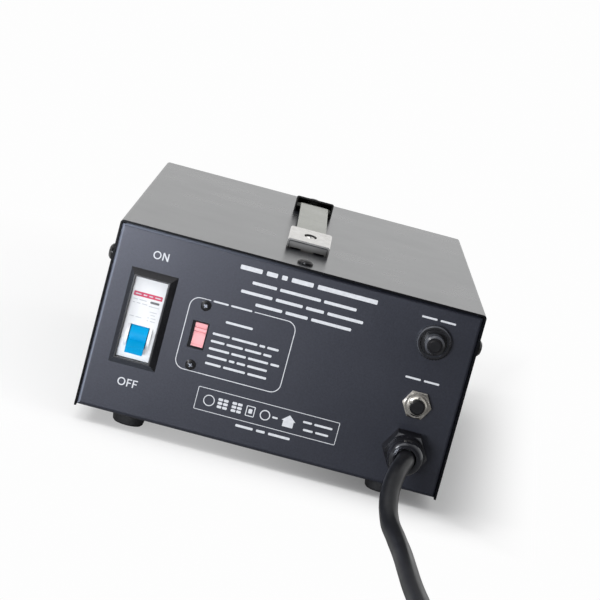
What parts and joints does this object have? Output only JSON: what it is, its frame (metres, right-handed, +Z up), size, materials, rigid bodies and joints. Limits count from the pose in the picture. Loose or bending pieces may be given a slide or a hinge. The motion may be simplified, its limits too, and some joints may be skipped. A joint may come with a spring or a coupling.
{
  "type": "voltage converter transformer",
  "caption": "Black sheet-metal voltage converter with a carrying strap, and a breaker, a voltage selector, reset buttons and a mains cord on its control panel.",
  "frame": {"origin": "on the floor, under the middle of the part's bounding box without the cord", "axes": "+Z up, the control panel with the breaker and the cord gland faces -Y, +X to its right as seen from the front"},
  "size_m": [0.329, 0.7855, 0.1269],
  "materials": {
    "case_paint": "satin",
    "black_screws": "satin",
    "black_rubber": "matte",
    "zinc_steel": "satin",
    "bright_nickel": "satin",
    "strap_vinyl": "satin",
    "white_plastic": "gloss",
    "blue_plastic": "gloss",
    "red_plastic": "satin",
    "black_plastic": "satin",
    "core_steel": "satin",
    "copper_winding": "gloss",
    "cord_rubber": "matte"
  },
  "bodies": {
    "case": {"chassis": "case_paint", "cover": "case_paint", "cover_screws": "black_screws", "rubber_feet": "black_rubber", "foot_screws": "zinc_steel", "handle_cap_front": "bright_nickel", "handle_cap_rear": "bright_nickel", "handle_strap": "strap_vinyl", "handle_screws": "bright_nickel", "handle_nuts": "zinc_steel", "breaker_bezel": "black_plastic", "breaker_body": "white_plastic", "breaker_bracket": "zinc_steel", "selector_body": "black_plastic", "selector_screws": "black_screws", "upper_cutout_body": "black_plastic", "upper_cutout_nut": "black_plastic", "lower_cutout_body": "zinc_steel", "lower_cutout_nut": "bright_nickel", "gland_body": "black_plastic", "gland_dome_nut": "black_plastic", "gland_lock_nut": "black_plastic", "gland_seal": "black_rubber", "output_socket_left": "black_plastic", "output_socket_middle": "black_plastic", "output_socket_right": "black_plastic", "ring_core": "core_steel", "ring_winding": "copper_winding", "ring_lower_pad": "black_rubber", "ring_upper_pad": "black_rubber", "ring_dish": "zinc_steel", "ring_bolt": "zinc_steel", "ring_nut": "zinc_steel", "cord_tube": "cord_rubber", "cord_coil": "cord_rubber", "cord_tie": "black_plastic", "cord_tail": "cord_rubber", "plug_body": "black_rubber", "plug_pins": "zinc_steel"},
    "toggle": {"breaker_toggle": "blue_plastic"},
    "slider": {"selector_slider": "red_plastic"},
    "upper_button": {"upper_cutout_button": "black_plastic"},
    "lower_button": {"lower_cutout_button": "black_plastic"}
  },
  "joints": [
    {"name": "breaker_toggle_turn", "type": "hinge", "parent": "case", "child": "toggle", "pos_m": [-0.0798, -0.151, 0.055], "axis": [-1, 0, 0], "range_deg": [0, 50]},
    {"name": "selector_slide", "type": "slide", "parent": "case", "child": "slider", "axis": [0, 0, 1], "range_m": [0, 0.0045]},
    {"name": "upper_button_trip", "type": "slide", "parent": "case", "child": "upper_button", "axis": [0, -1, 0], "range_m": [0, 0.0035]},
    {"name": "lower_button_trip", "type": "slide", "parent": "case", "child": "lower_button", "axis": [0, -1, 0], "range_m": [0, 0.0035]}
  ]
}
